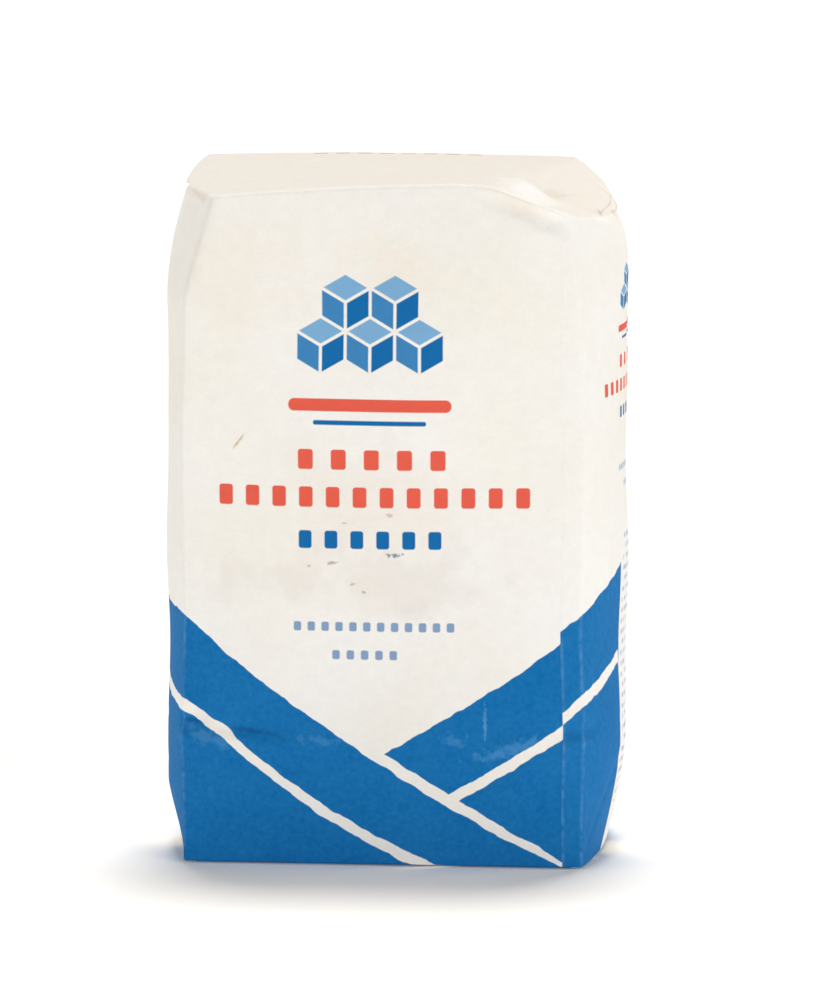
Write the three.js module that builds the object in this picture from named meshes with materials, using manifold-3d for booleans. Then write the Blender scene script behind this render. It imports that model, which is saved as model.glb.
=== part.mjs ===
// A shut one-kilogram paper bag of sugar, standing on its folded block bottom.
// Millimetres, +Z up. The front panel faces -Y, and the origin is the middle of the base.
// The paper tube is folded in at both sides of its top, and the flat fin that this leaves is
// laid back over the roof. The filled panels swell between their creases, the roof's corners
// are knocked in, its right end droops, and the base is folded like a parcel.
import * as THREE from "three";
import { mergeGeometries, mergeVertices } from "three/addons/utils/BufferGeometryUtils.js";
import Module from "manifold-3d";

const vec = (x, y, z) => new THREE.Vector3(x, y, z);
const lerp = THREE.MathUtils.lerp;
const clamp = THREE.MathUtils.clamp;

// The paper tube, from crease to crease.
const PANEL_WIDTH = 96;
const PANEL_DEPTH = 66;
const ROOF_HEIGHT = 163;
const ROOF_DOME = { middle: 1.2, front: 1.5, back: 1.3, starts: 12 };

// How far the sugar swells each panel. The swelling grows over a foot from the share it has at the
// base, and fades over a shoulder to the share that it keeps at the roof. A section is rounded by a
// power of the way across. The right side is fuller at its shoulder than the left.
const SHOULDER_ROUNDING = 1.5;
const FACE_SWELL = { most: 5.4, base: 0, foot: 34, rounding: 2, shoulder: 62, roof: 0.22, power: 2.3 };
const LEFT_SWELL = { most: 7, base: 0.15, foot: 18, rounding: 2.4, shoulder: 30, roof: 0.22, power: 2 };
const RIGHT_SWELL = { most: 7, base: 0.3, foot: 26, rounding: 1.3, shoulder: 12, roof: 0.75, power: 2 };

// Slow unevenness of the filled panels: two waves, one finer than the other, that run askew and die
// away towards the base. The phases only say where the first of each stands.
const LUMP = { height: 0.25, length: 64, finer: 1.7, less: 0.5, skew: 0.6, foot: 25 };
const LUMP_PHASES = [0.7, 2.1, 1.9, 0.4];

// The side mouths, where the tube is folded in under the roof. Each starts and ends at a share of
// half the depth, has a lip over it, and reaches in to a fold at a share of its own surface.
const MOUTH = { lip: 1.3, reach: 13, fold: 0.5, sag: 0.25, roundness: 0.6 };
const LEFT_MOUTH = { from: -0.42, to: 0.94, gap: 3 };
const RIGHT_MOUTH = { from: -0.4, to: 0.94, gap: 4.4 };

// The right end of the roof droops ever more steeply from one line across it to its edge, and the
// side panel under it gives way over some of its own height.
const DROOP = { from: 34, to: 53.5, down: 9.5, curve: 1.7, depth: 40, easing: 1.5 };

// The flats that were knocked into the roof's front corners, each by three of its points.
const LEFT_CORNER = [vec(-40.6, -33, 161.3), vec(-50.3, -12, 162.2), vec(-48, -33, 134)];
const RIGHT_CORNER = [vec(42.5, -33, 157), vec(52.3, -10, 156.5), vec(48, -33, 134)];
const RIGHT_SLOPE = [vec(22, -34.5, 164.1), vec(30.5, -8.5, 164.9), vec(42.8, -33.5, 154.9)];

// The fin: the folded end of the tube, laid back over the rear half of the roof. The front panel's
// paper runs up onto it over a short ramp, and its free edge is lifted most in the middle.
const FIN = { halfSpan: 0.96, from: -0.12, to: 0.8, ramp: 0.24, sunk: 0.7, flush: 0.05 };
const FIN_RISE = { middle: 1.4, ends: 0.7 };

// The base: a flap from the back, the front flap glued over it, and how far both run into the body.
const BASE = { step: 0.4, overlap: 12, sunk: 4 };

// The long glued seam, a strip of the front panel close to its right crease.
const SEAM = { fromCrease: 5, toCrease: 0.8, rise: 0.4, thin: 0.1, sunk: 1, foot: 3, head: 10 };

// Creased dents, each by its two ends, its width and its depth: under the drooping corner, and at
// both ends of the crease where the base was once folded flat, half a depth up.
const DENTS = [
  { from: vec(24, -35.2, 159.5), to: vec(45, -33.4, 151.5), width: 6, depth: 1.1 },
  { from: vec(-49, -33, 34.5), to: vec(-33, -36.8, 30.5), width: 4, depth: 0.8 },
  { from: vec(40, -35.2, 31.5), to: vec(49, -33, 33), width: 3, depth: 0.7 },
];

// How finely the panels are divided.
const ACROSS_FACE = 18;
const ACROSS_SIDE = 12;
const UP_PANEL = 26;
const DOWN_MOUTH = 6;

const HALF_WIDTH = PANEL_WIDTH / 2;
const HALF_DEPTH = PANEL_DEPTH / 2;
const BODY_FOOT = 2 * BASE.step;
const CUT_SIZE = 80;

// How far a panel is swollen at a height, and at q from one crease, -1, to the other, 1.
function swollen(swell, q, z) {
  const foot = 1 - (1 - clamp((z - BODY_FOOT) / swell.foot, 0, 1)) ** swell.rounding;
  const shoulder = 1 - (1 - clamp((ROOF_HEIGHT - z) / swell.shoulder, 0, 1)) ** SHOULDER_ROUNDING;
  const share = lerp(swell.base, 1, foot) * lerp(swell.roof, 1, shoulder);
  return swell.most * share * (1 - Math.abs(q) ** swell.power);
}

// Moves a point by the slow unevenness of the filling, out and in from the bag's axis.
function lumpy(p) {
  const wave = (far, phase) => Math.sin((2 * Math.PI * far) / LUMP.length + LUMP_PHASES[phase]);
  const share = LUMP.height * clamp((p.z - BODY_FOOT) / LUMP.foot, 0, 1);
  const across = wave(p.z + LUMP.skew * p.y, 0) + LUMP.less * wave(LUMP.finer * p.z, 1);
  const along = wave(LUMP.skew * p.z - p.x, 2) + LUMP.less * wave(LUMP.finer * p.x, 3);
  return p.add(vec((share * across * p.x) / HALF_WIDTH, (share * along * p.y) / HALF_DEPTH, 0));
}

// Lets a point near the roof's right end droop, less and less down the side below it.
function drooped(p) {
  const across = Math.max(p.x - DROOP.from, 0) / (DROOP.to - DROOP.from);
  const up = clamp(1 - (ROOF_HEIGHT - p.z) / DROOP.depth, 0, 1);
  return p.setZ(p.z - DROOP.down * across ** DROOP.curve * up ** DROOP.easing);
}

const settled = (p) => drooped(lumpy(p));

// A point of the front (side -1) or back (side 1) panel: s runs across it from -1 to 1.
function facePoint(side, s, z) {
  return vec(s * HALF_WIDTH, side * (HALF_DEPTH + swollen(FACE_SWELL, s, z)), z);
}

// A point of the left (side -1) or right (side 1) panel: t runs from the front, -1, to the back, 1.
function sidePoint(side, t, z) {
  const swell = side < 0 ? LEFT_SWELL : RIGHT_SWELL;
  return vec(side * (HALF_WIDTH + swollen(swell, t, z)), t * HALF_DEPTH, z);
}

const mouthOf = (side) => (side < 0 ? LEFT_MOUTH : RIGHT_MOUTH);

// How far open a side mouth is along t, from 0 at its ends to 1.
function mouthOpen(side, t) {
  const { from, to } = mouthOf(side);
  return Math.sin(Math.PI * clamp((t - from) / (to - from), 0, 1)) ** MOUTH.roundness;
}

// The top of a side panel, below the roof by the mouth's lip and gap.
const sillZ = (side, t) => ROOF_HEIGHT - mouthOpen(side, t) * (MOUTH.lip + mouthOf(side).gap);

// A point of a level sheet between the four panels: s runs across it and t from front to back.
function levelPoint(s, t, z) {
  const rail = facePoint(-1, s, z).lerp(facePoint(1, s, z), (t + 1) / 2);
  const rung = sidePoint(-1, t, z).lerp(sidePoint(1, t, z), (s + 1) / 2);
  return rail.add(rung).sub(vec(s * HALF_WIDTH, t * HALF_DEPTH, z));
}

// Lifts a point of the skin near the roof, which is domed in the middle and higher at its back.
function domed(p) {
  const s = clamp(p.x / HALF_WIDTH, -1, 1);
  const t = clamp(p.y / HALF_DEPTH, -1, 1);
  const up = clamp(1 - (ROOF_HEIGHT - p.z) / ROOF_DOME.starts, 0, 1);
  const dome = ROOF_DOME.middle * (1 - t ** 2) + (ROOF_DOME.front * (1 - t)) / 2;
  return p.setZ(p.z + up * (dome * (1 - s ** 2) + (ROOF_DOME.back * (1 + t)) / 2));
}

// A point of a side mouth: r runs from the roof's edge, 0, under its lip, in to the fold and out to
// the side panel's top, 1.
function mouthPoint(side, t, r) {
  const open = mouthOpen(side, t);
  const lip = sidePoint(side, t, ROOF_HEIGHT);
  const sill = sidePoint(side, t, sillZ(side, t));
  const under = lip.clone().setZ(ROOF_HEIGHT - MOUTH.lip * open);
  const reach = Math.min(MOUTH.reach, HALF_DEPTH * (1 - Math.abs(t))) * open;
  const fold = under.clone().add(vec(-side * reach, 0, -MOUTH.sag * mouthOf(side).gap * open));
  const underLip = 1 / DOWN_MOUTH;
  if (r <= underLip) return lip.lerp(under, r / underLip);
  if (r <= MOUTH.fold) return under.lerp(fold, (r - underLip) / (MOUTH.fold - underLip));
  return fold.lerp(sill, (r - MOUTH.fold) / (1 - MOUTH.fold));
}

// Stations from -1 to 1, a little closer together towards both ends.
function stations(count) {
  return Array.from({ length: count + 1 }, (_, i) => {
    const even = (2 * i) / count - 1;
    return i === count ? 1 : 0.5 * even + 0.5 * Math.sin((Math.PI / 2) * even);
  });
}

const faceStations = stations(ACROSS_FACE);
const sideStations = stations(ACROSS_SIDE);
const heightShares = stations(UP_PANEL).map((q) => (1 - q) / 2);
const mouthShares = Array.from({ length: DOWN_MOUTH + 1 }, (_, i) => i / DOWN_MOUTH);
const reversed = (list) => [...list].reverse();

// One panel of the paper: a plane whose columns and rows are placed by a function of two shares.
function panel(columns, rows, place) {
  const sheet = new THREE.PlaneGeometry(1, 1, columns.length - 1, rows.length - 1);
  sheet.deleteAttribute("normal");
  sheet.deleteAttribute("uv");
  const at = sheet.getAttribute("position");
  rows.forEach((row, j) =>
    columns.forEach((column, i) => {
      const p = settled(domed(place(column, row)));
      at.setXYZ(j * columns.length + i, p.x, p.y, p.z);
    }),
  );
  return sheet;
}

// The whole skin of the bag as one closed surface: front, back, right, left, mouths, roof and base.
function skin() {
  const faceZ = (h) => lerp(BODY_FOOT, ROOF_HEIGHT, h);
  const sideZ = (side, t, h) => lerp(BODY_FOOT, sillZ(side, t), h);
  const sheets = [
    panel(faceStations, heightShares, (s, h) => facePoint(-1, s, faceZ(h))),
    panel(reversed(faceStations), heightShares, (s, h) => facePoint(1, s, faceZ(h))),
    panel(sideStations, heightShares, (t, h) => sidePoint(1, t, sideZ(1, t, h))),
    panel(reversed(sideStations), heightShares, (t, h) => sidePoint(-1, t, sideZ(-1, t, h))),
    panel(sideStations, mouthShares, (t, r) => mouthPoint(1, t, r)),
    panel(reversed(sideStations), mouthShares, (t, r) => mouthPoint(-1, t, r)),
    panel(faceStations, reversed(sideStations), (s, t) => levelPoint(s, t, ROOF_HEIGHT)),
    panel(faceStations, sideStations, (s, t) => levelPoint(s, t, BODY_FOOT)),
  ];
  return mergeGeometries(sheets);
}

// The fin's slab, which follows the roof that it lies on.
function fin() {
  const slab = new THREE.BoxGeometry(2, 1, 1, ACROSS_FACE, ACROSS_SIDE / 2, 1);
  const at = slab.getAttribute("position");
  for (let i = 0; i < at.count; i += 1) {
    const s = at.getX(i) * FIN.halfSpan;
    const t = lerp(FIN.from, FIN.to, at.getY(i) + 0.5);
    const p = settled(domed(levelPoint(s, t, ROOF_HEIGHT)));
    const ramp = clamp((t - FIN.from) / FIN.ramp, 0, 1);
    const top = lerp(-FIN.flush, lerp(FIN_RISE.middle, FIN_RISE.ends, s ** 2), ramp);
    at.setXYZ(i, p.x, p.y, p.z + (at.getZ(i) > 0 ? top : -FIN.sunk));
  }
  return slab;
}

// The raised strip of the seam, where one edge of the sheet is glued over the other.
function seam() {
  const strip = new THREE.BoxGeometry(1, 1, 1, 1, 1, UP_PANEL);
  const at = strip.getAttribute("position");
  for (let i = 0; i < at.count; i += 1) {
    const toLeft = at.getX(i) < 0;
    const x = HALF_WIDTH - (toLeft ? SEAM.fromCrease : SEAM.toCrease);
    const z = lerp(SEAM.foot, ROOF_HEIGHT - SEAM.head, at.getZ(i) + 0.5);
    const p = settled(facePoint(-1, x / HALF_WIDTH, z));
    const rise = toLeft ? SEAM.rise : SEAM.thin;
    at.setXYZ(i, p.x, p.y + (at.getY(i) < 0 ? -rise : SEAM.sunk), p.z);
  }
  return strip;
}

// A trapezium flap of the base, folded under from the front (side -1) or the back (side 1).
function baseFlap(side, level) {
  const reach = HALF_DEPTH + BASE.overlap / 2;
  const shape = new THREE.Shape();
  shape.moveTo(-HALF_WIDTH, side * HALF_DEPTH);
  shape.lineTo(HALF_WIDTH, side * HALF_DEPTH);
  shape.lineTo(HALF_WIDTH - reach, side * (HALF_DEPTH - reach));
  shape.lineTo(reach - HALF_WIDTH, side * (HALF_DEPTH - reach));
  return new THREE.ExtrudeGeometry(shape, { depth: BASE.sunk, bevelEnabled: false })
    .translate(0, 0, level);
}

// The octahedron that cuts a dent: its middle stands one depth out of the paper, so that it meets
// the paper with the dent's own length and width and reaches the dent's depth under it.
function dent({ from, to, width, depth }) {
  const length = from.distanceTo(to);
  const along = to.clone().sub(from).normalize();
  const up = vec(0, Math.sign(from.y), 0).cross(along).normalize();
  const out = along.clone().cross(up);
  const middle = from.clone().lerp(to, 0.5).addScaledVector(out, depth);
  return new THREE.OctahedronGeometry(1)
    .scale(length, width, 2 * depth)
    .applyMatrix4(new THREE.Matrix4().makeBasis(along, up, out))
    .translate(...middle.toArray());
}

// A box whose near face is the plane through three points, on the far side of it from the middle.
function beyondPlane([a, b, c]) {
  const plane = new THREE.Plane().setFromCoplanarPoints(a, b, c);
  if (plane.distanceToPoint(vec(0, 0, HALF_WIDTH)) > 0) plane.negate();
  const turn = new THREE.Quaternion().setFromUnitVectors(vec(0, 0, 1), plane.normal);
  const middle = a.clone().add(b).add(c).divideScalar(3).addScaledVector(plane.normal, CUT_SIZE / 2);
  return new THREE.BoxGeometry(CUT_SIZE, CUT_SIZE, CUT_SIZE)
    .applyQuaternion(turn)
    .translate(...middle.toArray());
}

const wasm = await Module();
wasm.setup();

// A three.js geometry as a solid, with its doubled vertices merged and its flat triangles dropped.
function solid(geometry) {
  const bare = geometry.clone();
  bare.deleteAttribute("normal");
  bare.deleteAttribute("uv");
  const merged = mergeVertices(bare, 1e-4);
  const index = merged.index.array;
  const kept = [];
  for (let i = 0; i < index.length; i += 3) {
    const [a, b, c] = index.slice(i, i + 3);
    if (a !== b && b !== c && c !== a) kept.push(a, b, c);
  }
  const vertProperties = new Float32Array(merged.getAttribute("position").array);
  return new wasm.Manifold(new wasm.Mesh({ numProp: 3, vertProperties, triVerts: new Uint32Array(kept) }));
}

// A solid back as a three.js geometry.
function geometryOf(made) {
  const mesh = made.getMesh();
  const geometry = new THREE.BufferGeometry();
  geometry.setAttribute("position", new THREE.BufferAttribute(mesh.vertProperties, 3));
  geometry.setIndex(new THREE.BufferAttribute(mesh.triVerts, 1));
  geometry.computeVertexNormals();
  return geometry;
}

// The bag: its skin and the paper that lies on it, with the corners knocked in and the dents cut.
const laidOn = [fin(), seam(), baseFlap(-1, 0), baseFlap(1, BASE.step)];
const knockedIn = [LEFT_CORNER, RIGHT_CORNER, RIGHT_SLOPE].map(beyondPlane);
let bag = solid(skin());
for (const sheet of laidOn) bag = bag.add(solid(sheet));
for (const cut of [...knockedIn, ...DENTS.map(dent)]) bag = bag.subtract(solid(cut));

const paper = new THREE.MeshStandardMaterial({ color: 0xf3ede5, roughness: 0.75, metalness: 0 });
const sugarBag = new THREE.Mesh(geometryOf(bag), paper);
sugarBag.name = "sugar_bag";

export default new THREE.Group().add(sugarBag);
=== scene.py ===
"""The looks of a shut one-kilogram paper bag of sugar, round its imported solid.

The bag is one printed paper tube. It is modelled panel by panel from the tube's sizes, pressed and
creased where the real one is, and printed by nodes that read the paper's own flat coordinates.
Sizes are in millimetres, and each piece's mesh is turned to metres as it is made.
"""

import logging
import math
from collections.abc import Callable
from dataclasses import dataclass
from enum import Enum

import bmesh
import bpy
import numpy as np
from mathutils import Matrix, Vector

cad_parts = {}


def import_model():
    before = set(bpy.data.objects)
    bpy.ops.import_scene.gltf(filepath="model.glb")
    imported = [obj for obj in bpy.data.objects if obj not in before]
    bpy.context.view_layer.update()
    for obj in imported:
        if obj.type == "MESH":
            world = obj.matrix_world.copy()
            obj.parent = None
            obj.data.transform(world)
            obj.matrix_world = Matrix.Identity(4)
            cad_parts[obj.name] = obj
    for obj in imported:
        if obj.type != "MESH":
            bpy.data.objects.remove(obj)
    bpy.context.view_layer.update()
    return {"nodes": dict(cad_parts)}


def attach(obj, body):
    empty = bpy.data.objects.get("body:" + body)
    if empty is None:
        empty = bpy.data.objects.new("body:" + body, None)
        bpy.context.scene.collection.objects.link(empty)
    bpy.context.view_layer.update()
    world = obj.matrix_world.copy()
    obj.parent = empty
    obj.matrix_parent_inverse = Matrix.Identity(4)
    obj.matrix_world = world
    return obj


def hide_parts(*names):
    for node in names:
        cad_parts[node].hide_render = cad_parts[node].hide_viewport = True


LOG = logging.getLogger("sugar_bag")

Array = np.ndarray
Point = tuple[float, float, float]
Socket = bpy.types.NodeSocket

MM = 0.001
NODE = "sugar_bag"
BODY = "root"
PAPER_MAP = "paper"


def blend(low: Array | float, high: Array | float, share: Array | float) -> Array:
    """Returns the value that lies at a share of the way from low to high."""
    return low + (high - low) * share


def eased(value: Array | float) -> Array:
    """Returns a value held between 0 and 1, with an easy start and end."""
    held = np.clip(value, 0, 1)
    return held * held * (3 - 2 * held)


def points_of(x: Array, y: Array, z: Array) -> Array:
    """Returns one row of x, y and z for each point."""
    return np.stack(np.broadcast_arrays(x, y, z), axis=-1).astype(float)


def stations(count: int) -> Array:
    """Returns count + 1 places from -1 to 1 that are closer together towards both ends."""
    even = np.linspace(-1, 1, count + 1)
    return 0.5 * even + 0.5 * np.sin(np.pi / 2 * even)


# ---------------------------------------------------------------------------------------------
# The form of the filled bag
# ---------------------------------------------------------------------------------------------


@dataclass(frozen=True)
class Tube:
    """The paper tube from crease to crease, and where its long seam is glued on the front."""

    width: float = 96.0
    depth: float = 66.0
    roof: float = 163.0
    foot: float = 0.5
    seam: float = 43.2

    @property
    def half_width(self) -> float:
        """Half the front panel's width."""
        return self.width / 2

    @property
    def half_depth(self) -> float:
        """Half the side panel's width."""
        return self.depth / 2

    @property
    def strip(self) -> float:
        """The width of the front panel right of the seam."""
        return self.half_width - self.seam

    @property
    def seam_share(self) -> float:
        """Where the seam lies across the front, from -1 at its left crease to 1."""
        return self.seam / self.half_width

    @property
    def side_end(self) -> float:
        """How far along the paper, from the seam, a side panel ends and the next face begins."""
        return self.strip + self.depth

    @property
    def face_middle(self) -> float:
        """How far along the paper, from the seam, the middle of the next face lies."""
        return self.side_end + self.half_width

    def on_face(self, s: Array) -> Array:
        """Returns how far along the paper, from the seam, a place across a face lies."""
        return self.face_middle + s * self.half_width

    def on_side(self, t: Array) -> Array:
        """Returns how far along the paper, from the seam, a place across a side panel lies."""
        return self.strip + self.half_depth * (1 + t)


@dataclass(frozen=True)
class Swell:
    """How the sugar swells a panel.

    It has its base share of the most at the foot and all of it above the foot's height. Over the
    shoulder's height it falls off to its roof share. The roundings say how full that makes it, and
    the power how flat it is from crease to crease.
    """

    most: float
    base: float
    foot: float
    rounding: float
    shoulder: float
    roof: float
    power: float
    shoulder_rounding: float = 1.5

    def at(self, tube: Tube, across: Array, height: Array) -> Array:
        """Works out how far the panel stands out.

        Args:
            tube: The tube that the panel belongs to.
            across: The place between the panel's creases, from -1 to 1.
            height: The height over the table.

        Returns:
            The distance, in mm.
        """
        foot = 1 - (1 - np.clip((height - tube.foot) / self.foot, 0, 1)) ** self.rounding
        below_roof = np.clip((tube.roof - height) / self.shoulder, 0, 1)
        shoulder = 1 - (1 - below_roof) ** self.shoulder_rounding
        share = blend(self.base, 1, foot) * blend(self.roof, 1, shoulder)
        return self.most * share * (1 - np.abs(across) ** self.power)


@dataclass(frozen=True)
class Mouth:
    """The slit under one end of the roof, where the side panel is tucked in."""

    start: float
    end: float
    gap: float
    lip: float = 0.6
    reach: float = 13.0
    sag: float = 0.25
    roundness: float = 0.6

    def open(self, along: Array) -> Array:
        """Returns how far open the slit is, from 0 to 1, along the panel's -1 to 1."""
        share = np.clip((along - self.start) / (self.end - self.start), 0, 1)
        return np.sin(np.pi * share) ** self.roundness


@dataclass(frozen=True)
class Flat:
    """A flat that was knocked into a corner: the paper beyond three of its points lies on it."""

    points: tuple[Point, Point, Point]
    softness: float = 0.35

    def press(self, at: Array, middle: Array) -> Array:
        """Lays the paper beyond the flat on it.

        Args:
            at: The points.
            middle: A point inside the bag.

        Returns:
            The points, moved where they are beyond it.
        """
        first, second, third = np.array(self.points)
        normal = np.cross(second - first, third - first)
        normal /= np.linalg.norm(normal)
        if (middle - first) @ normal > 0:
            normal = -normal
        beyond = (at - first) @ normal / self.softness
        return at - np.outer(self.softness * np.logaddexp(0, beyond), normal)


class Fold(Enum):
    """The ways in which a crease shapes the paper beside it."""

    RIDGE = "ridge"
    VALLEY = "valley"
    DENT = "dent"


@dataclass(frozen=True)
class Crease:
    """A crease along a line of points, with how far it reaches on each side and how deep it is."""

    fold: Fold
    points: tuple[Point, ...]
    reach: float
    depth: float

    # Along its line the depth follows a half wave from just inside its ends, made blunter by the
    # taper. Across a ridge or a valley the steepness gathers it at the line.
    end_share: float = 0.04
    taper: float = 0.6
    steepness: float = 1.6

    def relief(self, at: Array) -> Array:
        """Works out the crease's relief.

        Args:
            at: The points, one row each.

        Returns:
            How far each point is moved out along the paper's normal.
        """
        line = np.array(self.points, float)
        steps = np.diff(line, axis=0)
        lengths = np.linalg.norm(steps, axis=1)
        starts = np.concatenate(([0], np.cumsum(lengths)[:-1]))
        nearest = np.full(len(at), np.inf)
        share = np.zeros(len(at))
        for start, step, length, before in zip(line, steps, lengths, starts):
            place = np.clip((at - start) @ step / length**2, 0, 1)
            far = np.linalg.norm(at - start - np.outer(place, step), axis=1)
            closer = far < nearest
            share = np.where(closer, (before + place * length) / lengths.sum(), share)
            nearest = np.where(closer, far, nearest)
        taper = np.sin(np.pi * blend(self.end_share, 1 - self.end_share, share)) ** self.taper
        away = np.clip(nearest / self.reach, 0, 1)
        if self.fold is Fold.DENT:
            return -self.depth * taper * (1 - eased(away))
        fold = self.depth * taper * (1 - away) ** self.steepness
        return fold if self.fold is Fold.RIDGE else -fold


@dataclass(frozen=True)
class BagForm:
    """The filled and shut bag's surface, worked out from the tube and what has happened to it."""

    tube: Tube = Tube()
    face: Swell = Swell(5.4, 0, 34, 2, 62, 0.22, 2.3)
    left: Swell = Swell(7, 0.15, 16.5, 1.35, 30, 0.22, 2)
    right: Swell = Swell(7.4, 0.3, 26, 1.3, 12, 0.75, 2)
    left_mouth: Mouth = Mouth(-0.42, 0.94, 3.4)
    right_mouth: Mouth = Mouth(-0.12, 0.94, 5.4)

    # The roof: domed in its middle, higher at its back, over this much of its height.
    dome: float = 1.2
    dome_front: float = 1.5
    dome_back: float = 0.6
    dome_starts: float = 12.0

    # Its front edge sinks towards its left end: the most, and the share of the width it starts at.
    sink: float = 2.9
    sink_from: float = 0.35

    # Slow unevenness of the filling: its height, the length of its waves and where they stand.
    lump: float = 0.25
    lump_length: float = 64.0
    lump_finer: float = 1.7
    lump_less: float = 0.5
    lump_skew: float = 0.6
    lump_foot: float = 25.0
    lump_phases: tuple[float, float, float, float] = (0.7, 2.1, 1.9, 0.4)

    # The roof's right end droops from one line across it to its edge.
    droop_from: float = 40.3
    droop_to: float = 53.5
    droop_down: float = 8.8
    droop_curve: float = 1.15
    droop_depth: float = 40.0
    droop_easing: float = 1.5

    flats: tuple[Flat, ...] = (
        Flat(((-40.6, -33, 161.3), (-50.3, -12, 162.2), (-48, -33, 136)), 0.8),
        Flat(((43.5, -33, 157), (52.3, -12, 156.5), (48, -33, 138)), 1.8),
        Flat(((26.9, -34.5, 163.4), (30.5, -8.5, 164.8), (43.6, -33, 157.2))),
        Flat(((41.4, 33, 163.2), (46.2, 33, 158.4), (53.6, 0, 155.1))),
    )

    def face_point(self, side: float, s: Array, z: Array) -> Array:
        """Returns points of the front (-1) or back (1), s across it, -1 to 1, and z high."""
        out = self.tube.half_depth + self.face.at(self.tube, s, z)
        return points_of(s * self.tube.half_width, side * out, z)

    def side_point(self, side: float, t: Array, z: Array) -> Array:
        """Places points of a side panel.

        Args:
            side: The left (-1) or right (1) panel.
            t: The place from the front crease, -1, to the back one, 1.
            z: The height.

        Returns:
            One row of x, y and z for each point.
        """
        swell = self.left if side < 0 else self.right
        out = self.tube.half_width + swell.at(self.tube, t, z)
        return points_of(side * out, t * self.tube.half_depth, z)

    def mouth(self, side: float) -> Mouth:
        """Returns the slit at the left (side -1) or right (side 1) end of the roof."""
        return self.left_mouth if side < 0 else self.right_mouth

    def sill(self, side: float, t: Array) -> Array:
        """Returns the height of a side panel's top, below the roof by the slit's lip and gap."""
        mouth = self.mouth(side)
        return self.tube.roof - mouth.open(t) * (mouth.lip + mouth.gap)

    def mouth_point(self, side: float, t: Array, r: Array) -> Array:
        """Places points of a slit's lining, in under the roof and out again.

        Args:
            side: The left (-1) or right (1) end of the roof.
            t: The place from front to back, -1 to 1.
            r: The way from the roof's edge, 0, in to the fold and out to the panel's top, 1.

        Returns:
            One row of x, y and z for each point.
        """
        mouth = self.mouth(side)
        opened = mouth.open(t)
        lip = self.side_point(side, t, np.full_like(t, self.tube.roof))
        sill = self.side_point(side, t, self.sill(side, t))
        under = lip - points_of(0 * t, 0 * t, mouth.lip * opened)
        reach = np.minimum(mouth.reach, self.tube.half_depth * (1 - np.abs(t))) * opened
        fold = under + points_of(-side * reach, 0 * t, -mouth.sag * mouth.gap * opened)

        # The lip takes one of the lining's 14 rows, and the fold lies halfway.
        way = r[:, None]
        lip_end, fold_end = 1 / 14, 0.5
        to_under = blend(lip, under, way / lip_end)
        to_fold = blend(under, fold, (way - lip_end) / (fold_end - lip_end))
        to_sill = blend(fold, sill, (way - fold_end) / (1 - fold_end))
        return np.where(way <= lip_end, to_under, np.where(way <= fold_end, to_fold, to_sill))

    def level_point(self, s: Array, t: Array, z: float) -> Array:
        """Places points of a level sheet between the four panels.

        Args:
            s: The place across the bag, -1 to 1.
            t: The place from front to back, -1 to 1.
            z: The sheet's height.

        Returns:
            One row of x, y and z for each point.
        """
        height = np.full_like(s, z)
        over = ((t + 1) / 2)[:, None]
        along = ((s + 1) / 2)[:, None]
        rail = blend(self.face_point(-1, s, height), self.face_point(1, s, height), over)
        rung = blend(self.side_point(-1, t, height), self.side_point(1, t, height), along)
        flat = points_of(s * self.tube.half_width, t * self.tube.half_depth, height)
        return rail + rung - flat

    def roof_point(self, s: Array, t: Array) -> Array:
        """Returns points of the settled roof, s across it and t from front to back."""
        return self.settled(self.level_point(s, t, self.tube.roof))

    def domed(self, at: Array) -> Array:
        """Lifts points near the roof, most in its middle and at its back.

        Args:
            at: The points, one row each.

        Returns:
            The lifted points.
        """
        x, y, z = at.T
        s = np.clip(x / self.tube.half_width, -1, 1)
        t = np.clip(y / self.tube.half_depth, -1, 1)
        up = np.clip(1 - (self.tube.roof - z) / self.dome_starts, 0, 1)
        crown = self.dome * (1 - t**2) + self.dome_front * (1 - t) / 2
        sunk = self.sink * np.clip((self.sink_from - s) / (1 + self.sink_from), 0, 1)
        lift = crown * (1 - s**2) + self.dome_back * (1 + t) / 2 - sunk * ((1 - t) / 2) ** 2
        return points_of(x, y, z + up * lift)

    def lumpy(self, at: Array) -> Array:
        """Moves points out and in with the unevenness of the filling.

        Args:
            at: The points, one row each.

        Returns:
            The moved points.
        """
        x, y, z = at.T
        share = self.lump * np.clip((z - self.tube.foot) / self.lump_foot, 0, 1)
        turns = 2 * np.pi / self.lump_length
        first, second, third, fourth = self.lump_phases
        across = np.sin(turns * (z + self.lump_skew * y) + first)
        across += self.lump_less * np.sin(turns * self.lump_finer * z + second)
        along = np.sin(turns * (self.lump_skew * z - x) + third)
        along += self.lump_less * np.sin(turns * self.lump_finer * x + fourth)
        out_x = x + share * across * x / self.tube.half_width
        return points_of(out_x, y + share * along * y / self.tube.half_depth, z)

    def drooped(self, at: Array) -> Array:
        """Lets points near the roof's right end down.

        Args:
            at: The points, one row each.

        Returns:
            The lowered points.
        """
        x, y, z = at.T
        across = np.maximum(x - self.droop_from, 0) / (self.droop_to - self.droop_from)
        up = np.clip(1 - (self.tube.roof - z) / self.droop_depth, 0, 1)
        down = self.droop_down * across**self.droop_curve * up**self.droop_easing
        return points_of(x, y, z - down)

    def settled(self, at: Array) -> Array:
        """Returns points where the filled bag's dome, lumps and droop put them."""
        return self.drooped(self.lumpy(self.domed(at)))

    def pressed(self, at: Array) -> Array:
        """Presses the knocked-in corners.

        Args:
            at: The points, one row each.

        Returns:
            The pressed points.
        """
        middle = np.array((0, 0, self.tube.half_width))
        for flat in self.flats:
            at = flat.press(at, middle)
        return at


# ---------------------------------------------------------------------------------------------
# Paper sheets and the meshes made of them
# ---------------------------------------------------------------------------------------------


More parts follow.
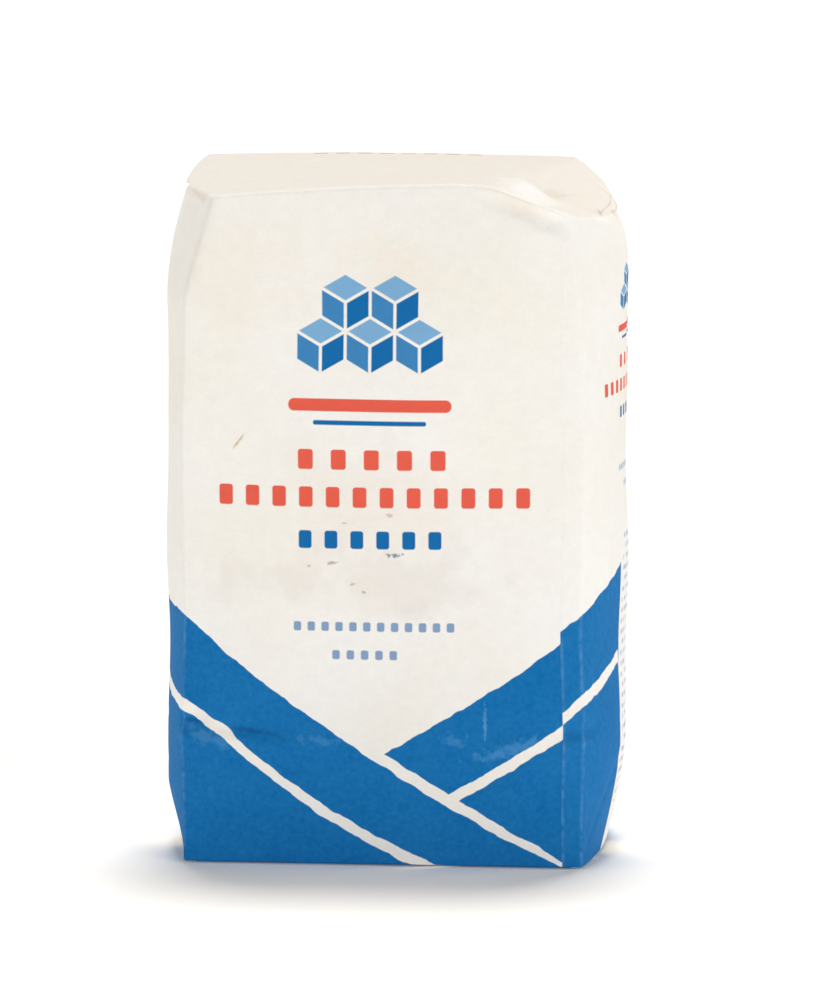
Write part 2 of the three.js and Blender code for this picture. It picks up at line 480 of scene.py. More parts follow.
@dataclass(frozen=True)
class Sheet:
    """One panel of paper as a grid: how it is placed, and where it lies on the flat paper.

    Each of its vertices has one of the columns' values and one of the rows', or a row of values.
    """

    columns: Array
    rows: Array
    place: Callable[[Array, Array], Array]
    lay: Callable[[Array, Array], tuple[Array, Array]]

    def mesh(self) -> bpy.types.Mesh:
        """Makes the sheet's mesh, with the paper's coordinates as its UV map.

        Returns:
            The mesh, in millimetres.
        """
        bm = bmesh.new()
        bm.loops.layers.uv.new(PAPER_MAP)
        bmesh.ops.create_grid(
            bm, x_segments=len(self.columns) - 1, y_segments=len(self.rows) - 1, size=1
        )
        mesh = mesh_of("sheet", bm)
        at = read_points(mesh)
        column = self.columns[np.rint((at[:, 0] + 1) / 2 * (len(self.columns) - 1)).astype(int)]
        row = self.rows[np.rint((at[:, 1] + 1) / 2 * (len(self.rows) - 1)).astype(int)]
        write_points(mesh, self.place(column, row))
        corners = np.zeros(len(mesh.loops), np.int32)
        mesh.loops.foreach_get("vertex_index", corners)
        on_paper = np.stack(np.broadcast_arrays(*self.lay(column, row)), axis=-1) * MM
        mesh.uv_layers[PAPER_MAP].uv.foreach_set("vector", on_paper[corners].ravel())
        return mesh


def mesh_of(name: str, bm: bmesh.types.BMesh) -> bpy.types.Mesh:
    """Turns a bmesh to a mesh.

    Args:
        name: The mesh's name.
        bm: The bmesh, which is freed.

    Returns:
        The mesh.
    """
    mesh = bpy.data.meshes.new(name)
    bm.to_mesh(mesh)
    bm.free()
    return mesh


def stand(name: str, data: bpy.types.ID) -> bpy.types.Object:
    """Stands an object in the scene.

    Args:
        name: The object's name.
        data: Its mesh, its lamp or its camera.

    Returns:
        The object, at the origin.
    """
    thing = bpy.data.objects.new(name, data)
    bpy.context.scene.collection.objects.link(thing)
    return thing


def read_points(mesh: bpy.types.Mesh) -> Array:
    """Reads a mesh's vertices.

    Args:
        mesh: The mesh.

    Returns:
        One row of x, y and z for each vertex.
    """
    flat = np.zeros(len(mesh.vertices) * 3)
    mesh.vertices.foreach_get("co", flat)
    return flat.reshape(-1, 3)


def write_points(mesh: bpy.types.Mesh, at: Array) -> None:
    """Moves a mesh's vertices to the rows of at."""
    mesh.vertices.foreach_set("co", at.ravel())
    mesh.update()


def join_sheets(sheets: list[Sheet], merge: float = 0.01) -> bmesh.types.BMesh:
    """Joins sheets along the edges that they share.

    Args:
        sheets: The sheets.
        merge: How close two corners lie that are one, in mm.

    Returns:
        One bmesh, closed where they all meet.
    """
    bm = bmesh.new()
    for sheet in sheets:
        mesh = sheet.mesh()
        bm.from_mesh(mesh)
        bpy.data.meshes.remove(mesh)
    bmesh.ops.remove_doubles(bm, verts=bm.verts, dist=merge)
    bmesh.ops.recalc_face_normals(bm, faces=bm.faces)
    return bm


def thickened(sheet: Sheet, thickness: float) -> bmesh.types.BMesh:
    """Gives a sheet the thickness of its paper.

    Args:
        sheet: The sheet.
        thickness: How thick it gets, in mm, and less than 0 where it grows to its other side.

    Returns:
        A closed bmesh whose faces point outwards.
    """
    bm = join_sheets([sheet])
    bmesh.ops.solidify(bm, geom=bm.verts[:] + bm.edges[:] + bm.faces[:], thickness=thickness)
    bmesh.ops.recalc_face_normals(bm, faces=bm.faces)
    return bm


def soften_folds(bm: bmesh.types.BMesh, sharper_than: float, rounds: int) -> None:
    """Rounds the folds of a bmesh a little, as paper has no edge without a radius.

    Args:
        bm: The bmesh.
        sharper_than: The angle, in degrees, past which an edge is a fold.
        rounds: How often its vertices are drawn towards their neighbours.
    """
    least = math.radians(sharper_than)
    for _ in range(rounds):
        folds = [edge for edge in bm.edges if edge.is_manifold and edge.calc_face_angle() > least]
        verts = {vert for edge in folds for vert in edge.verts}
        bmesh.ops.smooth_vert(
            bm, verts=list(verts), factor=0.5, use_axis_x=True, use_axis_y=True, use_axis_z=True
        )


def finished_piece(name: str, bm: bmesh.types.BMesh, finish: bpy.types.Material) -> bpy.types.Object:
    """Turns a bmesh in millimetres to a smooth object in metres that stands for the solid bag.

    Args:
        name: The piece's name.
        bm: Its mesh, which is freed.
        finish: Its material.

    Returns:
        The object, which rides on the bag's body.
    """
    bmesh.ops.scale(bm, vec=(MM, MM, MM), verts=bm.verts)
    for polygon in bm.faces:
        polygon.smooth = True
    mesh = mesh_of(name, bm)
    mesh.materials.append(finish)
    piece = stand(name, mesh)
    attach(piece, BODY)
    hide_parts(NODE)
    LOG.info("%s: %d faces", name, len(mesh.polygons))
    return piece


@dataclass
class PaperSkin:
    """The bag's skin: four walls, the roof, the base and the lining of the two slits.

    At the seam the paper laps over itself, and its print is a jog lower from there round to the
    back. A strip of paper is tucked into each slit.
    """

    form: BagForm
    creases: tuple[Crease, ...]
    across_face: int = 88
    across_side: int = 62
    up_wall: int = 210
    into_mouth: int = 14
    jog: float = 3.0
    lap: float = 0.16
    lap_fade: float = 8.0
    lap_start: float = 1e-7
    tuck: float = 26.0
    fold_angle: float = 14.0
    fold_rounds: int = 3

    def height(self, h: Array) -> Array:
        """Returns the height over the table of a share of the way up a wall."""
        return blend(self.form.tube.foot, self.form.tube.roof, h)

    def lap_point(self, s: Array, h: Array) -> Array:
        """Places points of the front right of the seam, where it lies on the rest of the front.

        Args:
            s: The place across the bag, from -1 at its left crease to 1.
            h: The share of the way up the wall.

        Returns:
            One row of x, y and z for each point.
        """
        tube, seam, z = self.form.tube, self.form.tube.seam_share, self.height(h)
        fade = eased((tube.roof - z) / self.lap_fade) * eased((z - tube.foot) / self.lap_fade)
        lift = np.where(s < seam, 0, self.lap * fade * (1 - (s - seam) / (1 - seam)))
        return self.form.face_point(-1, s, z) - points_of(0 * s, lift, 0 * s)

    def front(self, face: Array, wall: Array) -> tuple[Sheet, Sheet]:
        """Lays out the front.

        Args:
            face: The stations across a face, of which one is the seam.
            wall: The shares of the way up a wall.

        Returns:
            The sheets left and right of the seam.
        """
        form, tube = self.form, self.form.tube
        seam = tube.seam_share
        main = Sheet(
            face[face <= seam],
            wall,
            lambda s, h: form.face_point(-1, s, self.height(h)),
            lambda s, h: (tube.on_face(s), self.height(h)),
        )
        lapped = Sheet(
            np.insert(face[face >= seam], 0, seam - self.lap_start),
            wall,
            self.lap_point,
            lambda s, h: (s * tube.half_width - tube.seam, self.height(h) - self.jog),
        )
        return main, lapped

    def back(self, face: Array, wall: Array) -> Sheet:
        """Lays out the back, across which the jog of the print fades away.

        Args:
            face: The stations across a face.
            wall: The shares of the way up a wall.

        Returns:
            The back's sheet.
        """
        form = self.form
        return Sheet(
            face,
            wall,
            lambda s, h: form.face_point(1, s, self.height(h)),
            lambda s, h: (form.tube.on_face(-s), self.height(h) - self.jog * (1 - eased((1 - s) / 2))),
        )

    def side(self, end: float, columns: Array, wall: Array) -> Sheet:
        """Lays out a side panel, up to its slit.

        Args:
            end: The left (-1) or right (1) end of the bag.
            columns: The stations across a side panel.
            wall: The shares of the way up a wall.

        Returns:
            The panel's sheet.
        """
        form, tube = self.form, self.form.tube
        jog = self.jog if end > 0 else 0.0

        def height(t: Array, h: Array) -> Array:
            """Returns the height of a share of the way up to the panel's top."""
            return blend(tube.foot, form.sill(end, t), h)

        return Sheet(
            columns,
            wall,
            lambda t, h: form.side_point(end, t, height(t, h)),
            lambda t, h: (tube.on_side(end * t), height(t, h) - jog),
        )

    def lining(self, end: float, columns: Array) -> Sheet:
        """Lays out the lining of a slit.

        Args:
            end: The left (-1) or right (1) end of the bag.
            columns: The stations across a side panel.

        Returns:
            The lining's sheet.
        """
        form, tube = self.form, self.form.tube
        return Sheet(
            columns,
            np.linspace(0, 1, self.into_mouth + 1),
            lambda t, r: form.mouth_point(end, t, r),
            lambda t, r: (tube.on_side(end * t), tube.roof + self.tuck * r),
        )

    def sheets(self) -> list[Sheet]:
        """Lays out the sheets that close the bag.

        Returns:
            The walls from the front round to the left, the two linings, the roof and the base.
        """
        form, tube = self.form, self.form.tube
        face = np.unique(np.append(stations(self.across_face), tube.seam_share))
        side = stations(self.across_side)
        wall = (stations(self.up_wall) + 1) / 2
        roof = Sheet(
            face,
            side,
            lambda s, t: form.level_point(s, t, tube.roof),
            lambda s, t: (tube.on_face(s), tube.roof + tube.half_depth * (1 + t)),
        )
        base = Sheet(
            face,
            side,
            lambda s, t: form.level_point(s, t, tube.foot),
            lambda s, t: (tube.on_face(s), -tube.half_depth * (1 + t)),
        )
        return [
            *self.front(face, wall),
            self.side(1, side, wall),
            self.back(face, wall),
            self.side(-1, side, wall),
            self.lining(-1, side),
            self.lining(1, side),
            roof,
            base,
        ]

    def build(self, finish: bpy.types.Material) -> bpy.types.Object:
        """Makes the skin.

        Args:
            finish: The printed paper.

        Returns:
            The skin's object.
        """
        mesh = mesh_of("skin", join_sheets(self.sheets()))
        write_points(mesh, self.form.pressed(self.form.settled(read_points(mesh))))
        bm = bmesh.new()
        bm.from_mesh(mesh)
        soften_folds(bm, self.fold_angle, self.fold_rounds)
        bm.to_mesh(mesh)
        at = read_points(mesh)
        normals = np.zeros(at.size)
        mesh.vertex_normals.foreach_get("vector", normals)
        relief = sum((crease.relief(at) for crease in self.creases), np.zeros(len(at)))
        write_points(mesh, at + relief[:, None] * normals.reshape(-1, 3))
        bm.clear()
        bm.from_mesh(mesh)
        bpy.data.meshes.remove(mesh)
        return finished_piece("bag_skin", bm, finish)


@dataclass
class TopFold:
    """The folded end of the tube, laid back over the rear half of the roof.

    The path runs from the front of the roof up over a ramp, back to the free edge, and to and fro
    under itself: each of its points has a share of half the depth and a height over the roof. The
    free edge stands a little off the roof in its middle, and is wavy.
    """

    form: BagForm
    creases: tuple[Crease, ...]
    span: tuple[float, float] = (-1.01, 0.965)
    path: tuple[tuple[float, float], ...] = (
        (-0.36, -0.06),
        (-0.3, -0.03),
        (-0.24, 0.015),
        (-0.12, 0.12),
        (0, 0.26),
        (0.16, 0.46),
        (0.32, 0.64),
        (0.5, 0.76),
        (0.66, 0.82),
        (0.8, 0.84),
        (0.811, 0.76),
        (0.8, 0.66),
        (0.5, 0.58),
        (0.3, 0.52),
        (0.289, 0.46),
        (0.3, 0.4),
        (0.5, 0.4),
        (0.745, 0.42),
        (0.755, 0.35),
        (0.745, 0.28),
        (0.5, 0.22),
    )
    free_edge: tuple[float, float] = (0.8, 0.84)
    step: float = 1.1
    turn_step: float = 0.25
    longest_turn: float = 2.0
    lift: float = 0.3
    lift_from: float = 0.3
    wave: float = 0.1
    wave_turns: tuple[float, float] = (9.0, 4.0)
    wave_start: float = 1.0
    thickness: float = 0.16
    across: int = 100

    def rows(self) -> Array:
        """Spaces points along the path, close together at its turns.

        Returns:
            One row of share and height for each point.
        """
        knots = np.array(self.path) * (self.form.tube.half_depth, 1)
        found = []
        for start, end in zip(knots[:-1], knots[1:]):
            length = np.linalg.norm(end - start)
            step = self.step if length > self.longest_turn else self.turn_step
            count = max(1, round(length / step))
            found.extend(blend(start, end, i / count) for i in range(count))
        found.append(knots[-1])
        return np.array(found) / (self.form.tube.half_depth, 1)

    def place(self, s: Array, spot: Array) -> Array:
        """Places points of the folded end.

        Args:
            s: The place across the bag, -1 to 1.
            spot: The point of the path, as a row of its share and its height.

        Returns:
            One row of x, y and z for each point.
        """
        t, high = spot.T
        edge, edge_height = self.free_edge
        first, second = self.wave_turns
        raised = np.clip((t - self.lift_from) / (edge - self.lift_from), 0, None) ** 2
        wave = self.wave * np.sin(first * s + self.wave_start) * np.sin(second * s)
        curl = self.lift * (1 - s**2) + wave
        at = self.form.pressed(self.form.roof_point(s, t))
        sunk = sum((crease.relief(at) for crease in self.creases), 0 * s)
        share = np.clip(high / edge_height, 0, 1)
        return at + points_of(0 * s, 0 * s, sunk + high + raised * curl * share)

    def lay(self, s: Array, spot: Array) -> tuple[Array, Array]:
        """Returns where on the flat paper the same points lie."""
        tube = self.form.tube
        return tube.on_face(s), tube.roof + tube.half_depth * (1 + spot[:, 0])

    def build(self, finish: bpy.types.Material) -> bpy.types.Object:
        """Makes the folded end as one sheet with the paper's thickness.

        Args:
            finish: The printed paper.

        Returns:
            The fold's object.
        """
        across = blend(*self.span, (stations(self.across) + 1) / 2)
        sheet = Sheet(across, self.rows(), self.place, self.lay)
        return finished_piece("top_fold", thickened(sheet, self.thickness), finish)


@dataclass
class BaseFlap:
    """A trapezium flap of the parcel-folded base, from its fold to its free edge."""

    form: BagForm
    name: str
    side: float
    level: float
    overlap: float = 12.0
    inset: float = 2.8
    thickness: float = 0.2
    across: int = 60
    along: int = 24

    # How far below the paper's printed foot the flap begins on the flat paper.
    blank: float = 30.0

    @property
    def reach(self) -> float:
        """How far the flap reaches in under the bag."""
        return self.form.tube.half_depth + self.overlap / 2 - self.inset

    def place(self, s: Array, r: Array) -> Array:
        """Places points of the flap.

        Args:
            s: The place across it, -1 to 1.
            r: The way from its fold, 0, to its free edge, 1.

        Returns:
            One row of x, y and z for each point.
        """
        tube = self.form.tube
        x = s * (tube.half_width - self.inset - r * self.reach)
        y = self.side * (tube.half_depth - self.inset - r * self.reach)
        return points_of(x, y, 0 * s + self.level)

    def lay(self, s: Array, r: Array) -> tuple[Array, Array]:
        """Returns where on the flat paper the same points lie."""
        tube, past = self.form.tube, r * self.reach
        return tube.face_middle + s * (tube.half_width - past), -self.blank - past

    def build(self, finish: bpy.types.Material) -> bpy.types.Object:
        """Makes the flap, whose lowest points lie at its level.

        Args:
            finish: The printed paper.

        Returns:
            The flap's object.
        """
        sheet = Sheet(stations(self.across), np.linspace(0, 1, self.along + 1), self.place, self.lay)
        bm = thickened(sheet, -self.thickness)
        lowest = min(vert.co.z for vert in bm.verts)
        bmesh.ops.translate(bm, vec=(0, 0, self.level - lowest), verts=bm.verts)
        return finished_piece(self.name, bm, finish)


# ---------------------------------------------------------------------------------------------
# The printed paper
# ---------------------------------------------------------------------------------------------


def linear(colour: str) -> tuple[float, float, float, float]:
    """Turns an sRGB hex colour, such as f4eee6, to linear.

    Args:
        colour: Its six hex digits.

    Returns:
        Its red, green, blue and alpha.
    """
    parts = [int(colour[i : i + 2], 16) / 255 for i in (0, 2, 4)]
    turned = [c / 12.92 if c <= 0.04045 else ((c + 0.055) / 1.055) ** 2.4 for c in parts]
    return (*turned, 1.0)


class NodePen:
    """Adds nodes to one tree."""

    def __init__(self, tree: bpy.types.NodeTree) -> None:
        """Starts from an empty tree."""
        self.tree = tree
        self.tree.nodes.clear()

    def add(self, kind: str, *values: object, out: int | str = 0, **settings: object) -> Socket | None:
        """Adds a node with its settings and links.

        Args:
            kind: The shader node's type, without its common beginning.
            values: A number, a colour or another node's socket for each input in turn, or None;
                or one dict that names the inputs.
            out: Which of its outputs is wanted.
            settings: The node's own settings.

        Returns:
            The output, or None for a node without one.
        """
        node = self.tree.nodes.new("ShaderNode" + kind)
        for name, value in settings.items():
            setattr(node, name, value)
        given = values[0] if values and isinstance(values[0], dict) else dict(enumerate(values))
        for key, value in given.items():
            if isinstance(value, Socket):
                self.tree.links.new(value, node.inputs[key])
            elif value is not None:
                node.inputs[key].default_value = value
        return node.outputs[out] if node.outputs else None


class Ink(Enum):
    """The inks on the paper, and what has marked it since."""

    BLUE = "036bae"
    MID_BLUE = "3d86c0"
    PALE_BLUE = "7db0d9"
    RED = "e9604d"
    GREY = "86a3c6"
    SMALL = "c1c8da"
    STAMP = "b9ac9c"


@dataclass(frozen=True)
class Tiles:
    """A row of equal rounded tiles on a face: its middle and height, and each tile's size."""

    ink: Ink
    middle: float
    level: float
    count: int
    pitch: float
    width: float
    height: float
    corner: float = 0.7


@dataclass(frozen=True)
class CubePile:
    """Rows of sugar cubes drawn in isometry, the upper ones between the lower ones."""

    middle: float = -2.5
    foot: float = 119.0
    edge: float = 6.9
    gap: float = 0.75
    rows: tuple[int, ...] = (3, 2)


@dataclass(frozen=True)
class SmallPrint:
    """A block of tiny dashes on each side panel, in words and lines like small print."""

    middle: float = 37.8
    half_width: float = 7.2
    foot: float = 9.0
    top: float = 76.0
    line_pitch: float = 2.6
    line_height: float = 1.1
    line_edge: float = 0.05
    word: float = 1.7
    word_edges: tuple[float, float] = (0.46, 0.54)


@dataclass(frozen=True)
class StainAndPaintedLight:
    """A soft tint or a short streak on the front, as a stain, a rub, a painted highlight or a painted shade:
    its middle, its reach and its turn.

    Its fringe is ragged by this share of its reach, in tatters of at least the finest size, and
    inside the full share of its reach it has all its strength.
    """

    colour: str
    middle: tuple[float, float]
    reach: tuple[float, float]
    turn: float
    strength: float
    ragged: float = 0.5
    finest: float = 0.8
    full: float = 0.35


Line = tuple[tuple[float, float], ...]


@dataclass(frozen=True)
class Print:
    """The print, in millimetres of the flat paper: along it from the seam, and up from its foot.

    Front and back are alike, and so are the bands and the small print of the two sides, so one half
    of the tube is described. A face's own lines and tiles count from its middle, and the others
    from the seam.
    """

    # The lines that bound the blue and its stripes across a face, and a little past its creases.
    low_band: Line = (
        (-72, 62), (-48, 60.4), (-34.6, 49.3), (-24.3, 41.8), (-14.4, 35.3), (-4.9, 28.7),
        (2.5, 23.8), (9, 19.6), (28.9, 7.6), (44.6, 0), (48, -2),
    )  # fmt: skip
    high_band_foot: Line = (
        (-72, 70), (-48, 58), (1, 27.9), (9, 23), (16.1, 18.5), (27.6, 11.1), (36.7, 6),
        (44.7, 1), (48, -1),
    )  # fmt: skip
    high_band: Line = (
        (-72, -18), (-48, -2), (1, 27.9), (4.2, 30), (9.9, 33.4), (26, 43), (37.1, 50.4),
        (43.2, 54.8), (48, 58.4),
    )  # fmt: skip
    high_stripe: Line = ((-72, -18), (0, 7.2), (17, 17.3), (33, 26.9), (43.2, 33.5), (48, 38))
    low_stripe: Line = (
        (-72, 43), (-48, 38.6), (-38.3, 33), (-33.7, 28.9), (-24.3, 21.1), (-14.4, 14.1),
        (-6.2, 9.1), (4.1, 3.4), (12, -0.6), (48, -18),
    )  # fmt: skip

    # Where they run on the sides before that: below the foot, or up from the seam.
    low_band_side: Line = ((0, -19), (45.8, -19))
    high_band_foot_side: Line = ((0, -19), (28, -19))
    high_band_side: Line = ((0, 54.9), (4.8, 58.4), (28.8, 68.6), (29.5, -18))
    high_stripe_side: Line = ((0, 33.6), (4.8, 38), (28.8, 45.7), (30, -18))

    # The stripes' width, and how far the edges of the ink wander, in waves of this length.
    stripe_width: float = 3.0
    wobble: float = 0.36
    wobble_length: float = 4.8

    # The white column on each side panel, from and to, along the paper from the seam.
    column: tuple[float, float] = (28.8, 46.8)

    # The right side bears the same tiles and cubes, smaller: its middle, its top and the scale.
    # On the left side they are moved so far aside that it bears none.
    side_middle: float = 41.3
    side_top: float = 145.5
    face_top: float = 144.0
    side_scale: float = 0.64
    aside: float = 1000.0

    tiles: tuple[Tiles, ...] = (
        Tiles(Ink.RED, -2.5, 111.8, 1, 99.0, 39.0, 3.0, 1.4),
        Tiles(Ink.BLUE, -2.5, 107.6, 1, 99.0, 27.0, 1.1, 0.5),
        Tiles(Ink.RED, -2.0, 98.8, 5, 7.9, 3.6, 4.8),
        Tiles(Ink.RED, -1.6, 89.8, 12, 6.45, 3.3, 4.9),
        Tiles(Ink.BLUE, -2.4, 79.6, 6, 6.2, 3.1, 4.3),
        Tiles(Ink.GREY, -1.5, 58.7, 12, 3.35, 1.8, 2.2, 0.5),
        Tiles(Ink.GREY, -3.7, 51.9, 5, 3.45, 1.8, 2.2, 0.5),
        Tiles(Ink.STAMP, -3.2, 219.5, 8, 5.2, 3.4, 1.5, 0.5),
    )
    cubes: CubePile = CubePile()
    small_print: SmallPrint = SmallPrint()


@dataclass(frozen=True)
class Paper:
    """Bleached kraft sugar paper, machine glazed and flexo printed: matt, a little warm, mottled."""

    name: str = "bleached_kraft_paper"
    white: str = "f8f7f5"
    warm: str = "f7f3ea"
    roof_shade: str = "f1e9de"
    roughness: float = 0.75
    shine: float = 0.2
    ink_shine: float = 0.1

    # Clouds of warmer paper, and the painted shade of the roof, a darker and warmer tint, which starts and
    # ends so far past its edge.
    cloud: float = 42.0
    roof_shade_span: tuple[float, float] = (-1.0, 3.0)

    # Kraft fibres are a few hundredths of a millimetre thick, too fine to show, so their tooth is
    # drawn this coarse, and so are the flocks in which they lie. Each has a strength and a height.
    fibre: float = 0.8
    flock: float = 3.2
    tooth: tuple[float, float] = (0.4, 0.05)
    cockle: tuple[float, float] = (0.5, 0.1)
    shades: tuple[float, float] = (0.975, 1.025)

    # The ink lies unevenly on the fibres, in a fine mottle and in blotches. Past the seam, round the right
    # side panel, it is paler as painted light for the paper that turns to the right lamp.
    pale_and_lit_ink: str = "2881c2"
    mottle: float = 1.3
    mottle_share: float = 0.42
    blotch: float = 12.8
    blotch_share: float = 0.16
    painted_light_past_seam: float = 0.12

    # It is rubbed off in short bits along the folds.
    worn_ink: str = "7fb0da"
    wear_width: float = 0.45
    wear_edge: float = 0.4
    wear_bit: float = 2.6
    wear_share: float = 0.32
    # Soft tints across the middle and top of the front; then a painted highlight on the knocked-in flat at
    # the roof's right front, and painted shade in the band under its ridge and in its valley.
    stains_and_painted_light: tuple[StainAndPaintedLight, ...] = (
        StainAndPaintedLight("f1e9e0", (-2.5, 88), (26, 17), 0, 0.5),
        StainAndPaintedLight("ebe5de", (0, 70), (34, 11), 0, 0.6),
        StainAndPaintedLight("f5ecdf", (-33, 140), (17, 17), 20, 0.5),
        StainAndPaintedLight("f8efe2", (3, 146), (18, 9), 0, 0.5),
        # Painted highlight: the knocked-in flat is lighter.
        StainAndPaintedLight("faf6ef", (33, 172.5), (9, 14.5), 16, 1.0, 0.25),
        # Painted shade: the band under the flat's ridge.
        StainAndPaintedLight("f0e8da", (33.0, 159.4), (11, 3.0), -22, 0.65, 0.2),
        # Painted shade: the valley of the knocked-in corner.
        StainAndPaintedLight("e9dfcf", (36.5, 181.5), (6.5, 4), -30, 0.7, 0.3),
    )
    marks: tuple[StainAndPaintedLight, ...] = (
        StainAndPaintedLight("c9b089", (-34, 102.5), (0.45, 2.6), -38, 0.7, 0.2),
        StainAndPaintedLight("b9a68e", (-11.5, 74.0), (1.7, 0.5), 5, 0.8, 0.4),
        StainAndPaintedLight("c4b5a2", (-17, 73.2), (0.8, 0.4), 0, 0.7, 0.3),
        StainAndPaintedLight("bfae98", (-6.6, 68.9), (0.9, 0.35), 10, 0.7, 0.3),
        StainAndPaintedLight("b3a087", (-4.0, 67.0), (0.8, 0.45), -8, 0.8, 0.3),
        StainAndPaintedLight("3f7183", (3.6, 76.1), (2.3, 0.6), 4, 0.75, 0.5),
        StainAndPaintedLight("c98b74", (2.4, 85.6), (0.9, 0.5), -20, 0.6, 0.4),
        StainAndPaintedLight("c3b8a8", (-8.4, 83.6), (0.9, 0.35), 0, 0.6, 0.3),
    )
    # Light rubs on the blue at the base fold: partly worn ink, partly painted highlight where the paper
    # faces up under the crease.
    rubs_and_fold_shading: tuple[StainAndPaintedLight, ...] = (
        StainAndPaintedLight("5a9bd0", (31, 29.5), (9, 1.8), 14, 0.45, 0.6),
        StainAndPaintedLight("6ea9d8", (24.9, 35.5), (0.5, 5), 0, 0.5, 0.5),
        StainAndPaintedLight("5a9bd0", (17, 31.5), (3.5, 2.2), 0, 0.35, 0.6),
        StainAndPaintedLight("5a9bd0", (-41, 31.0), (7.5, 2.2), -18, 0.4, 0.5),
        StainAndPaintedLight("5a9bd0", (-15, 31.2), (5, 1.6), 0, 0.3, 0.6),
        # Painted shade: dark lines in the base fold's crease.
        StainAndPaintedLight("0a4a80", (-44.5, 34.9), (4.4, 1.0), 4, 0.55, 0.25),
        StainAndPaintedLight("0a4a80", (-30.6, 32.7), (7.5, 0.8), -7, 0.5, 0.25),
    )


class PrintedPaper:
    """Builds the one material of the bag from its paper and its print."""

    def __init__(self, tube: Tube, paper: Paper, design: Print) -> None:
        """Starts the material with the coordinates that its print is placed by.

        Args:
            tube: The tube that the paper is folded to.
            paper: The paper.
            design: What is printed on it.
        """
        self.tube = tube
        self.paper = paper
        self.design = design
        self.material = bpy.data.materials.new(paper.name)
        self.material.use_nodes = True
        self.pen = NodePen(self.material.node_tree)
        add = self.pen.add
        flat = add("UVMap", uv_map=PAPER_MAP)
        scaled = add("VectorMath", flat, (1 / MM, 1 / MM, 1), operation="MULTIPLY")
        self.along = add("SeparateXYZ", scaled, out="X")
        self.up = add("SeparateXYZ", scaled, out="Y")
        self.place = add("TexCoord", out="Object")
        self.on_side = add("Math", self.along, tube.side_end, operation="LESS_THAN")
        on_face = add("Math", self.along, tube.face_middle, operation="SUBTRACT")
        across = self.scaled_side(self.along, design.side_middle, 0.0)
        left = add("Math", add("SeparateXYZ", self.place, out="X"), 0.0, operation="LESS_THAN")
        across = add("Math", left, design.aside, across, operation="MULTIPLY_ADD")
        raised = self.scaled_side(self.up, design.side_top, design.face_top)
        self.face_x = add("Mix", {0: self.on_side, 2: on_face, 3: across})
        self.face_y = add("Mix", {0: self.on_side, 2: self.up, 3: raised})

    def scaled_side(self, value: Socket, own: float, face: float) -> Socket:
        """Returns the face's coordinate that a side's smaller print shows, where own becomes face."""
        scale = self.design.side_scale
        return self.pen.add("Math", value, 1 / scale, face - own / scale, operation="MULTIPLY_ADD")

    def height_along(self, points: list[tuple[float, float]]) -> Socket:
        """Draws a printed line as a curve along the paper.

        Args:
            points: The line's points: along the paper from the seam, and up from its foot.

        Returns:
            Its height over the paper's foot.
        """
        longest, lowest, tallest = 170.0, -20.0, 100.0
        share = self.pen.add("Math", self.along, longest, operation="DIVIDE")
        curve = self.pen.add("FloatCurve", 1.0, share)
        line = curve.node.mapping.curves[0]
        spots = [(x / longest, (y - lowest) / (tallest - lowest)) for x, y in sorted(points)]
        line.points[0].location, line.points[-1].location = spots[0], spots[-1]
        for spot in spots[1:-1]:
            line.points.new(*spot)
        for point in line.points:
            point.handle_type = "VECTOR"
        curve.node.mapping.update()
        return self.pen.add("Math", curve, tallest - lowest, lowest, operation="MULTIPLY_ADD")

    def below(self, edge: Socket | float, value: Socket, soft: float = 0.12) -> Socket:
        """Returns 1 where a value is below an edge, fading to 0 over soft mm both ways."""
        over = self.pen.add("Math", value, edge, operation="SUBTRACT")
        return self.pen.add("MapRange", over, -soft, soft, 1.0, 0.0)

    def near(self, value: Socket, middle: Socket | float, reach: float, soft: float = 0.12) -> Socket:
        """Returns 1 where a value lies within reach of a middle, fading as below does."""
        off = self.pen.add("Math", value, middle, operation="SUBTRACT")
        return self.below(reach, self.pen.add("Math", off, operation="ABSOLUTE"), soft)

    def both(self, *masks: Socket) -> Socket:
        """Finds where all of the masks are.

        Args:
            masks: The masks, of 0 to 1.

        Returns:
            Their product.
        """
        found = masks[0]
        for mask in masks[1:]:
            found = self.pen.add("Math", found, mask, operation="MULTIPLY")
        return found

    def either(self, *masks: Socket) -> Socket:
        """Finds where any of the masks is.

        Args:
            masks: The masks, of 0 to 1.

        Returns:
            The highest of them.
        """
        found = masks[0]
        for mask in masks[1:]:
            found = self.pen.add("Math", found, mask, operation="MAXIMUM")
        return found

    def without(self, mask: Socket, hole: Socket) -> Socket:
        """Returns a mask without what the hole takes from it."""
        rest = self.pen.add("Math", 1.0, hole, operation="SUBTRACT")
        return self.both(mask, rest)

    def patches(self, size: float, detail: float, low: float, high: float) -> Socket:
        """Adds a cloudy pattern.

        Args:
            size: How far apart its patches lie, in mm.
            detail: How much finer it gets.
            low: What its darkest patches give.
            high: What its brightest patches give.

        Returns:
            Its value.
        """
        scale = 1 / (size * MM)
        dark, bright = 0.3, 0.7
        cloud = self.pen.add("TexNoise", {"Vector": self.place, "Scale": scale, "Detail": detail})
        return self.pen.add("MapRange", cloud, dark, bright, low, high)

    def inked(self, under: Socket, mask: Socket, colour: Socket | str) -> Socket:
        """Returns the colour under with another, a socket or a hex colour, where mask is."""
        over = linear(colour) if isinstance(colour, str) else colour
        return self.pen.add("Mix", {0: mask, 6: under, 7: over}, out=2, data_type="RGBA")

